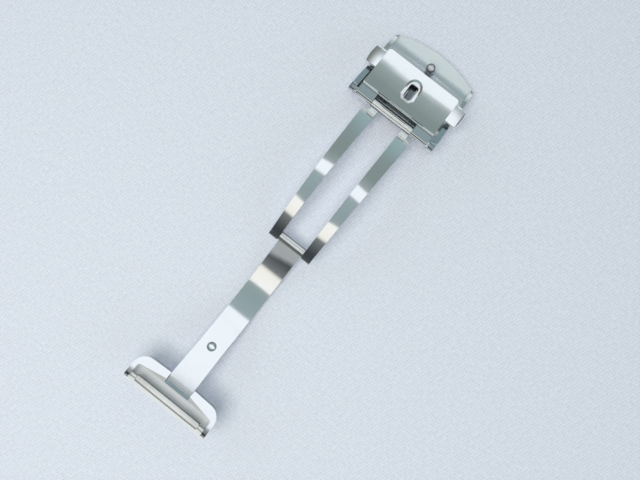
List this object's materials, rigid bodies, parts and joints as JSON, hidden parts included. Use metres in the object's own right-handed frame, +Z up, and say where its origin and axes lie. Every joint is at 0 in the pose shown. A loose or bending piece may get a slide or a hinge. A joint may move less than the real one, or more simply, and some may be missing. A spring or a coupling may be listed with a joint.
{
  "type": "watch buckle",
  "caption": "Folding push-button clasp for a leather watch strap, lying open: covered latch, forked blade and narrow blade with a T-shaped strap end and spring bar.",
  "frame": {"origin": "middle of the open clasp on the surface it lies on, below the centre of its bounding box", "axes": "+X across the strap, +Y along the strap towards the cover, +Z up, the side that faces the wrist"},
  "size_m": [0.0226, 0.0898, 0.0075],
  "materials": {
    "polished_steel": "polished",
    "satin_steel": "satin",
    "latch_steel": "satin",
    "bar_steel": "polished",
    "spring_steel": "drawn"
  },
  "bodies": {
    "housing": {"latch_housing": "satin_steel", "housing_base": "satin_steel", "guide_pins": "polished_steel", "main_hinge_pin": "polished_steel", "left_button_spring": "spring_steel", "right_button_spring": "spring_steel"},
    "cover": {"cover_shell": "polished_steel", "strap_peg": "polished_steel"},
    "left_pusher": {"left_button": "polished_steel", "left_latch_plate": "latch_steel"},
    "right_pusher": {"right_button": "polished_steel", "right_latch_plate": "latch_steel"},
    "fork": {"fork_blade": "polished_steel", "blade_hinge_pin": "polished_steel"},
    "blade": {"fold_blade": "polished_steel", "catch_stud": "polished_steel", "strap_end": "polished_steel"},
    "bar": {"spring_bar_barrel": "bar_steel", "spring_bar_spring": "spring_steel"},
    "left_tip": {"left_bar_tip": "bar_steel"},
    "right_tip": {"right_bar_tip": "bar_steel"}
  },
  "joints": [
    {"name": "fork_hinge", "type": "hinge", "parent": "housing", "child": "fork", "pos_m": [0, 0.02862, 0.0047], "axis": [-1, 0, 0], "range_deg": [0, 164.72]},
    {"name": "blade_hinge", "type": "hinge", "parent": "fork", "child": "blade", "pos_m": [0, -0.00335, 0.00343], "axis": [1, 0, 0], "range_deg": [0, 180.82]},
    {"name": "cover_flap", "type": "hinge", "parent": "housing", "child": "cover", "pos_m": [0, 0.02862, 0.0047], "axis": [-1, 0, 0], "range_deg": [0, 50]},
    {"name": "left_push", "type": "slide", "parent": "housing", "child": "left_pusher", "axis": [1, 0, 0], "range_m": [0, 0.0008], "stiffness_N_per_m": 600, "springref_m": -0.001, "deforming": ["left_button_spring"]},
    {"name": "right_push", "type": "slide", "parent": "housing", "child": "right_pusher", "axis": [-1, 0, 0], "range_m": [0, 0.0008], "stiffness_N_per_m": 600, "springref_m": -0.001, "deforming": ["right_button_spring"]},
    {"name": "bar_spin", "type": "hinge", "parent": "blade", "child": "bar", "pos_m": [0, -0.04272, 0.0064], "axis": [1, 0, 0], "continuous": true},
    {"name": "left_tip_slide", "type": "slide", "parent": "blade", "child": "left_tip", "axis": [1, 0, 0], "range_m": [0, 0.00075], "stiffness_N_per_m": 900, "springref_m": -0.001, "deforming": ["spring_bar_spring"]},
    {"name": "right_tip_slide", "type": "slide", "parent": "blade", "child": "right_tip", "axis": [-1, 0, 0], "range_m": [0, 0.00075], "stiffness_N_per_m": 900, "springref_m": -0.001, "deforming": ["spring_bar_spring"]}
  ],
  "couplings": [
    {"joint": "blade_hinge", "follows": "fork_hinge", "ratio": 1.0971}
  ]
}
